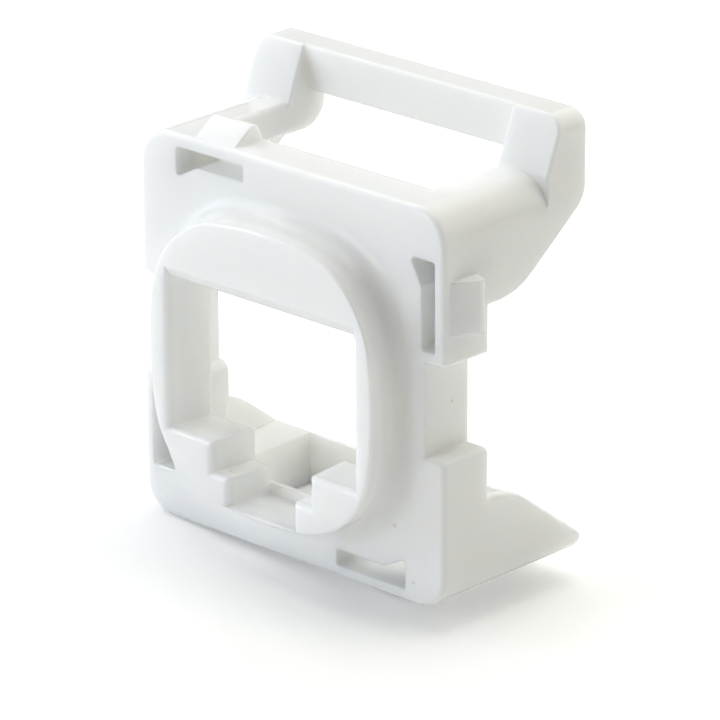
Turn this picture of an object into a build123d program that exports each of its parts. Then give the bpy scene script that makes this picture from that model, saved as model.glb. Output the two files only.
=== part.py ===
from build123d import *
import os
from math import hypot, radians, sqrt, tan

os.makedirs("parts", exist_ok=True)

# One moulding: a square plate with a raised boss around the jack opening in front, and two
# arms with a cross bar and two feet with a wedge bar behind.
# Millimetres, X to the right seen from the front, Y towards the back, Z up. It is drawn around
# the centre of the plate's front face, then set down with the origin under its middle.

# Plate that fills one bay of the wall plate
plate_side = 24.0
plate_corner = 2.1
plate_depth = 3.6
plate_edge_round = 0.35
front_wall = 0.7
wing_wall = 1.5
waist_height = 5.7
waist_edge_round = 0.2
waist_corner_round = 0.3

# Boss on the front of the plate
boss_side = 17.66
boss_diagonal = 19.48
boss_side_radius = 24.0
boss_drop = 0.1
boss_height = 2.6
boss_flare = 1.35
boss_edge_round = 0.1

# Opening through the boss, with two steps down to a narrow floor
opening_width = 15.0
opening_top = 4.3
opening_draft = 0.4
lead_in_height = 0.7
lead_in_depth = 0.5
upper_ledge_gap = 8.0
upper_ledge_z = -5.0
lower_ledge_gap = 5.4
lower_ledge_z = -6.93
floor_z = -8.67
step_round = 0.35
lip_rise = 0.65
lip_thickness = 0.35

# Hollow behind the front wall
hollow_width = 17.14
hollow_top = 8.57
hollow_bottom = -8.8
hollow_corner = 0.6
waist_wall = 1.17
top_wall_depth = 2.8
bottom_wall_depth = 2.0

# Slot behind each snap lug, the same at every quarter turn
slot_near = 3.58
slot_far = 9.02
slot_bend = 7.39
slot_outer = 11.3
slot_inner = 10.28
slot_tip = 9.42
slot_round = 0.2

# Snap lug outside each slot
lug_length = 3.2
lug_height = 1.0
lug_start = 0.5
lug_crest = 1.9
lug_crest_width = 0.4
lug_end = 2.75
lug_round = 0.2

# Arms and cross bar
rear_depth = 11.9
arm_width = 3.73
arm_thickness = 2.05
arm_under_round = 0.45
arm_rim_round = 0.4
arm_nose_round = 1.9
skirt_z = 5.75
skirt_flat = 0.85
skirt_tip_z = 10.1
slope_angle = 37.0
block_depth = 3.3
bar_top = 15.3
bar_depth = 2.03
bar_corner = 1.1
bar_bottom = 12.33
bar_bottom_depth = 1.3
bar_front_round = 0.2
bar_rear_round = 0.15

# Feet and wedge bar
foot_width = 4.4
foot_nose_z = -10.52
foot_nose_round = 0.3
toe_top_z = -5.86
toe_flat = 0.22
toe_edge_round = 0.45
wedge_bar_depth = 2.45

# An edge this near to a plane or a height counts as lying in it
touch = 0.01

half = plate_side / 2
arm_bottom = half - arm_thickness
arm_inner = half - arm_width
foot_inner = half - foot_width


def slab(outline, front, rear):
    """Outline drawn in X and Z, made solid from its front plane back to its rear plane."""
    return extrude(Plane.XZ.offset(-rear) * outline, amount=rear - front)


def across(profile, left, right):
    """Side profile drawn in Y and Z, made solid from its left plane to its right plane."""
    return extrude(Plane.YZ.offset(left) * profile, amount=right - left)


def block(left, right, front, rear, low, high):
    """Plain box between two planes in each direction."""
    outline = Pos((left + right) / 2, (low + high) / 2) * Rectangle(right - left, high - low)
    return slab(outline, front, rear)


def both_sides(solid):
    """A solid and its mirror image on the left."""
    return solid + mirror(solid, about=Plane.YZ)


def rounded(points, corners):
    """Closed outline through the points, with the named corners rounded to their radii."""
    face = make_face(Polyline(*points, close=True))
    for x, z, radius in corners:
        nearest = face.vertices().sort_by_distance(Vector(x, z, 0))[0]
        face = fillet(nearest, radius)
    return face


def plate_outline():
    """Square with rounded corners."""
    return RectangleRounded(plate_side, plate_side, plate_corner)


def boss_outline():
    """Square with bowed sides: four flat arcs and four corner arcs, tangent where they join."""
    middle = boss_side / 2
    corner = boss_diagonal / 2
    reach = boss_side_radius - middle
    inward = boss_side_radius - corner
    centre = (inward**2 - reach**2) / (2 * reach - 2 * sqrt(2) * inward)
    span = hypot(centre + reach, centre)
    join_x = boss_side_radius * (centre + reach) / span - reach
    join_z = boss_side_radius * centre / span
    peak = corner / sqrt(2)
    side = ThreePointArc((join_x, -join_z), (middle, 0), (join_x, join_z))
    turn = ThreePointArc((join_x, join_z), (peak, peak), (join_z, join_x))
    arcs = []
    for quarter in range(4):
        arcs += [Rot(0, 0, 90 * quarter) * side, Rot(0, 0, 90 * quarter) * turn]
    return make_face(arcs)


def opening_outline(narrowing):
    """Opening seen from the front: straight top and sides, stepped down to the floor."""
    side = opening_width / 2 - narrowing
    upper = upper_ledge_gap / 2 - narrowing
    lower = lower_ledge_gap / 2 - narrowing
    right = [
        (side, opening_top),
        (side, upper_ledge_z),
        (upper, upper_ledge_z),
        (upper, lower_ledge_z),
        (lower, lower_ledge_z),
        (lower, floor_z),
    ]
    left = [(-x, z) for x, z in reversed(right)]
    return make_face(Polyline(*right, *left, close=True))


def slot_outline():
    """Top slot: straight along the outside, wider towards the corner of the plate."""
    points = [
        (-slot_far, slot_outer),
        (-slot_near, slot_outer),
        (-slot_near, slot_inner),
        (-slot_bend, slot_inner),
        (-slot_far, slot_tip),
    ]
    ends = [points[0], points[1], points[2], points[4]]
    return rounded(points, [(x, z, slot_round) for x, z in ends])


def lug():
    """Top snap lug: ramp from the front up to a narrow crest, steep behind."""
    crest = half + lug_height
    rear_crest = lug_crest + lug_crest_width
    profile = [(lug_start, half), (lug_crest, crest), (rear_crest, crest), (lug_end, half)]
    root = [(lug_end, slot_outer), (lug_start, slot_outer)]
    ends = [(lug_crest, crest, lug_round), (rear_crest, crest, lug_round)]
    middle = -(slot_near + slot_far) / 2
    outline = rounded(profile + root, ends)
    return across(outline, middle - lug_length / 2, middle + lug_length / 2)


def sloped(start, end, far_side, flat, end_round):
    """Side profile behind the plate: one side runs flat from the plate, bends into the slope and
    ends in a rounded tip at the back, and the far side is straight."""
    bend = rear_depth - abs(end - start) / tan(radians(slope_angle))
    bend_round = (bend - plate_depth - flat) / tan(radians(slope_angle / 2))
    points = [
        (plate_depth, start),
        (bend, start),
        (rear_depth, end),
        (rear_depth, far_side),
        (plate_depth, far_side),
    ]
    return rounded(points, [(bend, start, bend_round), (rear_depth, end, end_round)])


def arm_edges(solid, height):
    """Edges at one height along the inner sides of the two arms."""
    edges = solid.edges().filter_by_position(Axis.Z, height - touch, height + touch)
    return [edge for edge in edges if abs(abs(edge.center().X) - arm_inner) < touch]


# Plate with the boss blended into its front and a waist notch in each side
body = slab(plate_outline(), 0, plate_depth)
body = fillet(body.faces().sort_by(Axis.Y)[0].edges(), plate_edge_round)
body += slab(Pos(0, -boss_drop) * boss_outline(), -boss_height, front_wall)
seam = body.edges().filter_by_position(Axis.Y, 0, 0)
body = fillet([edge for edge in seam if (edge @ 0.5).length < half - wing_wall], boss_flare)
body = fillet(body.faces().sort_by(Axis.Y)[0].edges(), boss_edge_round)
waist = half - wing_wall
body -= both_sides(block(waist, half, 0, plate_depth, -waist_height / 2, waist_height / 2))
corners = body.edges().filter_by(Axis.Y).filter_by_position(Axis.X, -half, -half)
corners += body.edges().filter_by(Axis.Y).filter_by_position(Axis.X, half, half)
body = fillet([edge for edge in corners if abs(edge.center().Z) < waist_height], waist_corner_round)
waist_edges = body.edges().filter_by_position(Axis.Y, 0, 0).filter_by(Axis.Z)
body = fillet([edge for edge in waist_edges if abs(edge.center().Z) < 1], waist_edge_round)

# Opening: it narrows a little towards the back, its steps and sides are rounded where they
# meet the face of the boss, and its top has a lead-in
near = Plane.XZ.offset(boss_height) * opening_outline(0)
far = Plane.XZ.offset(-front_wall) * opening_outline(opening_draft)
reach = boss_side / 2
opening = loft([near, far], ruled=True)
opening += block(-reach, reach, -2 * boss_height, -boss_height, floor_z, reach)
rim = opening.edges().filter_by_position(Axis.Y, -boss_height, -boss_height)
rim = rim.filter_by_position(Axis.Z, floor_z + step_round, opening_top - step_round)
body -= fillet([edge for edge in rim if abs(edge.center().X) < reach - step_round], step_round)
lead_in = make_face(Polyline(
    (-boss_height, opening_top),
    (-boss_height, opening_top + lead_in_height),
    (-boss_height + lead_in_depth, opening_top),
    close=True,
))
mouth = opening_width / 2
body -= across(lead_in, -mouth, mouth)

# Hollow behind the front wall, wider at the waist, with a thin lip at the end of the floor
side = hollow_width / 2
hollow = block(-side, side, front_wall, plate_depth, hollow_bottom, hollow_top)
recess = waist - waist_wall
hollow += block(-recess, recess, front_wall, plate_depth, -waist_height / 2, waist_height / 2)
corners = [edge for edge in hollow.edges().filter_by(Axis.Y) if abs(edge.center().Z) < waist_height]
hollow = fillet([edge for edge in corners if edge.center().X ** 2 < recess ** 2 - 1], hollow_corner)
hollow += block(-arm_inner, arm_inner, top_wall_depth, plate_depth, 0, half)
hollow += block(-foot_inner, foot_inner, bottom_wall_depth, plate_depth, -slot_inner, 0)
body -= hollow
lip = lower_ledge_gap / 2 + lip_thickness
body += block(-lip, lip, front_wall, front_wall + lip_thickness, hollow_bottom, floor_z + lip_rise)

# Slots and snap lugs, one of each at every quarter turn
for quarter in range(4):
    turn = Rot(0, 90 * quarter, 0)
    body -= turn * slab(slot_outline(), 0, plate_depth)
    body += turn * lug()

# Arms: a flange under each top corner of the plate, a skirt down the outer side, and at the end
# an upright block whose outer side stays square down to the skirt
block_front = rear_depth - block_depth
bar_front = rear_depth - bar_depth
flange = [
    (plate_depth, arm_bottom),
    (rear_depth, arm_bottom),
    (rear_depth, half),
    (plate_depth, half),
]
flange_profile = rounded(flange, [(rear_depth, arm_bottom, arm_nose_round)])
skirt_profile = sloped(skirt_z, skirt_tip_z, half, skirt_flat, arm_nose_round)
upright = [(block_front, half), (rear_depth, half), (rear_depth, bar_top), (bar_front, bar_top)]
upright_profile = make_face(Polyline(*upright, close=True))
head = [(arm_inner, 0), (half, 0), (half, bar_top), (arm_inner, bar_top)]
head_outline = rounded(head, [(half, bar_top, bar_corner)])
arm = across(flange_profile, arm_inner, half) + across(upright_profile, arm_inner, half)
arm += across(skirt_profile, half - wing_wall, half)
arm &= slab(plate_outline(), plate_depth, block_front) + slab(head_outline, block_front, rear_depth)

# Cross bar between the blocks
bar = [
    (rear_depth - bar_bottom_depth, bar_bottom),
    (rear_depth, bar_bottom),
    (rear_depth, bar_top),
    (bar_front, bar_top),
]
bar_profile = make_face(Polyline(*bar, close=True))
rear = both_sides(arm) + across(bar_profile, -arm_inner, arm_inner)
rear_edges = rear.edges().filter_by_position(Axis.Y, rear_depth, rear_depth)
rear = fillet(rear_edges.sort_by(Axis.Z)[-1], bar_rear_round)
rear = fillet(rear.edges().filter_by_position(Axis.Y, bar_front, bar_front), bar_front_round)
rear = fillet(arm_edges(rear, arm_bottom), arm_under_round)
body += rear
body = fillet(arm_edges(body, half), arm_rim_round)
# Feet joined by the wedge bar, with an open pocket between them
toe_profile = sloped(toe_top_z, foot_nose_z, -half, toe_flat, foot_nose_round)
feet = block(-half, half, plate_depth, rear_depth, -half, hollow_bottom)
feet += both_sides(block(half - wing_wall, half, plate_depth, rear_depth, -half, toe_top_z))
feet &= slab(plate_outline(), plate_depth, rear_depth)
wedge = across(toe_profile, -half, half)
ends = [edge for edge in wedge.edges() if abs(edge.center().X) > half - toe_edge_round]
upper = [edge for edge in ends if edge.center().Z > -half and edge.center().Y > plate_depth]
feet &= fillet(upper, toe_edge_round)
bar_start = rear_depth - wedge_bar_depth
feet -= block(-foot_inner, foot_inner, plate_depth, bar_start, -half, hollow_bottom)
body += feet

# Origin under the middle of the part, level with the lowest lug
lowest = half + lug_height
body = Pos(0, (boss_height - rear_depth) / 2, lowest) * body

export_step(body, "parts/jack_mount_frame.step")
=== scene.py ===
from math import cos, pi, radians, sin

import bpy
from mathutils import Matrix, Vector

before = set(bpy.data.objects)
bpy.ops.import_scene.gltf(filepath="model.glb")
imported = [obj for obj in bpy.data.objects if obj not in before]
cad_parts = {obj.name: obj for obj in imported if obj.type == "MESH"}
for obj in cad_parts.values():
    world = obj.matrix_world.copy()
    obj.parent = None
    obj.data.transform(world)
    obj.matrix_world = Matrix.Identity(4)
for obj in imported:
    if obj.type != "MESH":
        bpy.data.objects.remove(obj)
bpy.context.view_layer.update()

MM = 0.001

# Camera, at the photograph's viewing angle: angles in degrees, place, lens and sensor in mm
CAMERA_AZIMUTH = 43.506
CAMERA_ELEVATION = 20.613
CAMERA_ROLL = -0.265
CAMERA_PLACE = (211.73, -221.89, 127.48)
LENS = 282.76
SENSOR = 36.0
NEAREST = 10 * MM
FARTHEST = 10.0

# Moulded plastic: range of the white, range of the roughness, and specular level on plain
# surfaces and at its full
PLASTIC_DARK = "#F5F6F5"
PLASTIC_LIGHT = "#F8F9F8"
GLOSSY = 0.18
SATIN = 0.23
PLAIN_SHINE = 0.3
FULL_SHINE = 1.0
PLASTIC_IOR = 1.53

# Flow of the melt: size of a cloud in mm, detail, and the part of the noise that the gloss follows
FLOW_SIZE = 6
FLOW_DETAIL = 2.0
FLOW_LOW = 0.3
FLOW_HIGH = 0.7

# Orange peel: width and height of a dimple in mm, detail and strength
PEEL_SIZE = 0.35
PEEL_HEIGHT = 0.02
PEEL_DETAIL = 3.0
PEEL_STRENGTH = 0.12

# Small rounding of the edges in the shading, in mm, and its samples. The shine is full where the
# rounded normal is 22 degrees or more from the true one, and plain below 6: these are the cosines
EDGE_ROUND = 0.2
EDGE_SAMPLES = 6
EDGE_FULL = 0.93
EDGE_END = 0.995

# Scattering under the surface: weight, depth in mm, and the share of it for red, green and blue
TRANSLUCENCE = 0.8
SCATTER_DEPTH = 1.5
SCATTER_SHARES = (1.0, 0.95, 0.85)

# Near the front plane of the boss the shine is full too, so that the rounded rim of its face
# catches the lamps: Y of the plane, and the depths behind it where this starts to fade and ends
BOSS_FRONT = -7.25
POLISH_FULL = 0.35
POLISH_END = 0.75

# Small marks of dirt on the moulding: X, Y and Z in mm, and radius in mm. The core is the share
# of the radius that has the mark's full colour
MARKS = [
    (9.65, -4.65, 2.32, 0.15),
    (5.61, -4.65, 1.07, 0.17),
    (8.2, -4.68, 5.43, 0.2),
    (10.5, -2.36, 12.99, 0.16),
    (3.28, -4.73, 8.0, 0.2),
    (-3.44, -6.15, 6.07, 0.14),
    (-3.27, -6.19, 6.07, 0.12),
    (-3.1, -6.16, 6.07, 0.1),
]
MARK_COLOUR = "#E6E2DD"
MARK_CORE = 0.3

# The part rests on its lowest lug and on the left lower edge of the plate, so the floor passes
# through the end of the lug and rises to the left, up to the plate, by the lug's height
LUG_SIDE = 4.7 * MM
LUG_HEIGHT = 1.0 * MM
PLATE_LEFT = -10.03 * MM
FLOOR_SLOPE = LUG_HEIGHT / (LUG_SIDE - PLATE_LEFT)

# Floor: half its side in m, its colour, and how much it is lifted for the camera
HALF_FLOOR = 1.5
PAPER = "#F4F4F4"
FLOOR_GLOW = 0.22

# Lamps: azimuth, elevation and roll in degrees, width and height in m, level, and colour.
# All face a point near the middle of the part, from the same distance in m
MIDDLE = Vector((0, 0, 0.013))
LAMP_DISTANCE = 0.6
LAMPS = {
    "left_lamp": (-62, 12, 0, 0.35, 0.35, 0.31, "#E4F0FF"),
    "left_strip_lamp": (-68, 38, -34, 0.55, 0.09, 0.24, "#FFFFFF"),
    "front_lamp": (-22, 15, 0, 0.28, 0.28, 0.31, "#F4F9FF"),
    "right_rear_lamp": (120, 25, 0, 0.35, 0.35, 0.18, "#FFFFF0"),
    "rear_lamp": (165, 50, 0, 0.6, 0.6, 0.46, "#FFFEF6"),
    "left_rear_lamp": (-165, 22, 0, 0.35, 0.35, 0.16, "#FFFEF6"),
    "left_high_lamp": (-120, 45, 0, 0.4, 0.4, 0.26, "#F9FBFF"),
    "top_lamp": (0, 90, 0, 0.3, 0.3, 0.28, "#FFFFF8"),
}
WORLD_LEVEL = 0.01
WHITE = (1, 1, 1, 1)


def linear(code):
    """Colour written as sRGB hex, turned to linear light: each channel c becomes
    ((c + 0.055) / 1.055) ** 2.4, or c / 12.92 near black."""
    channels = [int(code[i:i + 2], 16) / 255 for i in (1, 3, 5)]
    return tuple(c / 12.92 if c <= 0.04045 else ((c + 0.055) / 1.055) ** 2.4 for c in channels)


def paint(code):
    """Opaque linear colour for a node's input."""
    return (*linear(code), 1)


def new_material(name):
    """Empty node material, with its node tree."""
    material = bpy.data.materials.new(name)
    material.use_nodes = True
    material.node_tree.nodes.clear()
    return material, material.node_tree


def add(tree, kind, **values):
    """Adds one node. A value that is a socket is linked to its input, and any other value is set.
    A name that starts with set_ is an attribute of the node, one that starts with in_ gives an
    input's index, and any other is an input's name, with _ for each space."""
    node = tree.nodes.new(kind)
    for name, value in values.items():
        if name.startswith("set_"):
            setattr(node, name[4:], value)
            continue
        key = int(name[3:]) if name.startswith("in_") else name.replace("_", " ")
        socket = node.inputs[key]
        if isinstance(value, bpy.types.NodeSocket):
            tree.links.new(value, socket)
        else:
            socket.default_value = value
    return node


def with_marks(tree, place, colour):
    """Darkens the colour around each mark, fading out at the mark's radius."""
    for x, y, z, radius in MARKS:
        away = add(
            tree, "ShaderNodeVectorMath", set_operation="DISTANCE",
            in_0=place, in_1=(x * MM, y * MM, z * MM),
        )
        near = add(
            tree, "ShaderNodeMapRange", set_interpolation_type="SMOOTHSTEP",
            Value=away.outputs["Value"], From_Min=MARK_CORE * radius * MM,
            From_Max=radius * MM, To_Min=1.0, To_Max=0.0,
        )
        colour = add(
            tree, "ShaderNodeMix", set_data_type="RGBA",
            in_0=near.outputs[0], in_6=colour, in_7=paint(MARK_COLOUR),
        ).outputs[2]
    return colour


def edge_shine(tree, place, rounded):
    """Specular level: full on the edges, where the rounded normal leaves the true one, and near
    the front plane of the boss, and plain elsewhere."""
    flat = add(
        tree, "ShaderNodeVectorMath", set_operation="DOT_PRODUCT", in_0=rounded,
        in_1=add(tree, "ShaderNodeNewGeometry").outputs["Normal"],
    )
    edges = add(
        tree, "ShaderNodeMapRange", Value=flat.outputs["Value"],
        From_Min=EDGE_FULL, From_Max=EDGE_END, To_Min=FULL_SHINE, To_Max=PLAIN_SHINE,
    )
    face = add(
        tree, "ShaderNodeMapRange",
        Value=add(tree, "ShaderNodeSeparateXYZ", Vector=place).outputs["Y"],
        From_Min=(BOSS_FRONT + POLISH_FULL) * MM, From_Max=(BOSS_FRONT + POLISH_END) * MM,
        To_Min=FULL_SHINE, To_Max=PLAIN_SHINE,
    )
    shine = add(
        tree, "ShaderNodeMath", set_operation="MAXIMUM",
        in_0=edges.outputs[0], in_1=face.outputs[0],
    )
    return shine.outputs[0]


def white_moulding():
    """ABS plastic, injection moulded in a finely polished mould: slightly translucent white with
    a soft sheen, a very fine orange peel, and slow changes of gloss where the melt flowed."""
    material, tree = new_material("abs_white_moulded_satin")
    place = add(tree, "ShaderNodeTexCoord").outputs["Object"]
    flow = add(
        tree, "ShaderNodeTexNoise", Vector=place, Scale=1 / (FLOW_SIZE * MM), Detail=FLOW_DETAIL,
    )
    shade = add(
        tree, "ShaderNodeMix", set_data_type="RGBA", in_0=flow.outputs["Fac"],
        in_6=paint(PLASTIC_DARK), in_7=paint(PLASTIC_LIGHT),
    )
    gloss = add(
        tree, "ShaderNodeMapRange", Value=flow.outputs["Fac"],
        From_Min=FLOW_LOW, From_Max=FLOW_HIGH, To_Min=GLOSSY, To_Max=SATIN,
    )
    peel = add(
        tree, "ShaderNodeTexNoise", Vector=place, Scale=1 / (PEEL_SIZE * MM), Detail=PEEL_DETAIL,
    )
    rounded = add(
        tree, "ShaderNodeBevel", set_samples=EDGE_SAMPLES, Radius=EDGE_ROUND * MM,
    ).outputs[0]
    bump = add(
        tree, "ShaderNodeBump", Height=peel.outputs["Fac"], Strength=PEEL_STRENGTH,
        Distance=PEEL_HEIGHT * MM, Normal=rounded,
    )
    surface = add(
        tree, "ShaderNodeBsdfPrincipled", Base_Color=with_marks(tree, place, shade.outputs[2]),
        Roughness=gloss.outputs[0], IOR=PLASTIC_IOR, Normal=bump.outputs[0],
        Specular_IOR_Level=edge_shine(tree, place, rounded), Subsurface_Weight=TRANSLUCENCE,
        Subsurface_Radius=SCATTER_SHARES, Subsurface_Scale=SCATTER_DEPTH * MM,
    )
    add(tree, "ShaderNodeOutputMaterial", Surface=surface.outputs[0])
    return material


def studio_floor():
    """White matt paper, lifted to pure white for the camera and in reflections, apart from the
    shadow."""
    material, tree = new_material("paper_white_matt")
    paper = add(tree, "ShaderNodeBsdfDiffuse", Color=paint(PAPER))
    rays = add(tree, "ShaderNodeLightPath").outputs
    seen = rays["Is Camera Ray"]
    for kind in ("Is Glossy Ray", "Is Transmission Ray"):
        seen = add(
            tree, "ShaderNodeMath", set_operation="MAXIMUM", in_0=seen, in_1=rays[kind],
        ).outputs[0]
    glow = add(tree, "ShaderNodeMath", set_operation="MULTIPLY", in_0=seen, in_1=FLOOR_GLOW)
    lift = add(tree, "ShaderNodeEmission", Color=WHITE, Strength=glow.outputs[0])
    both = add(tree, "ShaderNodeAddShader", in_0=paper.outputs[0], in_1=lift.outputs[0])
    add(tree, "ShaderNodeOutputMaterial", Surface=both.outputs[0])
    return material


def floor():
    """Flat sloping floor under the part."""
    corners = [(-1, -1), (1, -1), (1, 1), (-1, 1)]
    points = [(x * HALF_FLOOR, y * HALF_FLOOR) for x, y in corners]
    mesh = bpy.data.meshes.new("floor")
    mesh.from_pydata([(x, y, (LUG_SIDE - x) * FLOOR_SLOPE) for x, y in points], [], [(0, 1, 2, 3)])
    mesh.materials.append(studio_floor())
    sheet = bpy.data.objects.new("floor", mesh)
    bpy.context.collection.objects.link(sheet)
    return sheet


def back_vector(azimuth, elevation):
    """Unit vector from the object towards a camera or lamp: (sin a cos e, -cos a cos e, sin e).
    Azimuth 0 is in front and 90 on the right."""
    a = radians(azimuth)
    e = radians(elevation)
    return Vector((sin(a) * cos(e), -cos(a) * cos(e), sin(e)))


def looking(azimuth, elevation, roll):
    """Rotation that looks against the back vector, upright apart from the roll."""
    back = back_vector(azimuth, elevation)
    right = Vector((cos(radians(azimuth)), sin(radians(azimuth)), 0))
    up = back.cross(right)
    turn = Matrix((right, up, back)).transposed()
    return (turn @ Matrix.Rotation(radians(roll), 3, "Z")).to_4x4()


def camera():
    """Camera of the photograph."""
    data = bpy.data.cameras.new("camera")
    data.lens = LENS
    data.sensor_width = SENSOR
    data.clip_start = NEAREST
    data.clip_end = FARTHEST
    view = bpy.data.objects.new("camera", data)
    turn = looking(CAMERA_AZIMUTH, CAMERA_ELEVATION, CAMERA_ROLL)
    view.matrix_world = Matrix.Translation(Vector(CAMERA_PLACE) * MM) @ turn
    bpy.context.collection.objects.link(view)
    bpy.context.scene.camera = view


def soft_lamp(name, azimuth, elevation, roll, width, height, level, code):
    """Soft box that faces the part. Level is the light that it gives a white surface facing it,
    as a share of full white: power = level * pi * pi * distance ** 2 for a small lamp."""
    data = bpy.data.lights.new(name, "AREA")
    data.shape = "RECTANGLE"
    data.size = width
    data.size_y = height
    data.color = linear(code)
    data.energy = level * pi * pi * LAMP_DISTANCE ** 2
    lamp = bpy.data.objects.new(name, data)
    place = MIDDLE + back_vector(azimuth, elevation) * LAMP_DISTANCE
    lamp.matrix_world = Matrix.Translation(place) @ looking(azimuth, elevation, roll)
    bpy.context.collection.objects.link(lamp)


def world_light():
    """Even surroundings: plain white for camera and transmission rays, and dim for all others."""
    world = bpy.data.worlds.new("studio")
    world.use_nodes = True
    tree = world.node_tree
    tree.nodes.clear()
    rays = add(tree, "ShaderNodeLightPath").outputs
    seen = add(
        tree, "ShaderNodeMath", set_operation="MAXIMUM",
        in_0=rays["Is Camera Ray"], in_1=rays["Is Transmission Ray"],
    )
    light = add(tree, "ShaderNodeBackground", Color=WHITE, Strength=WORLD_LEVEL)
    white = add(tree, "ShaderNodeBackground", Color=WHITE, Strength=1.0)
    both = add(
        tree, "ShaderNodeMixShader", in_0=seen.outputs[0], in_1=light.outputs[0],
        in_2=white.outputs[0],
    )
    add(tree, "ShaderNodeOutputWorld", Surface=both.outputs[0])
    bpy.context.scene.world = world


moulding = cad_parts["jack_mount_frame"]
moulding.data.materials.clear()
moulding.data.materials.append(white_moulding())
floor()

camera()
world_light()
for name, settings in LAMPS.items():
    soft_lamp(name, *settings)

bpy.context.scene.view_settings.view_transform = "Standard"
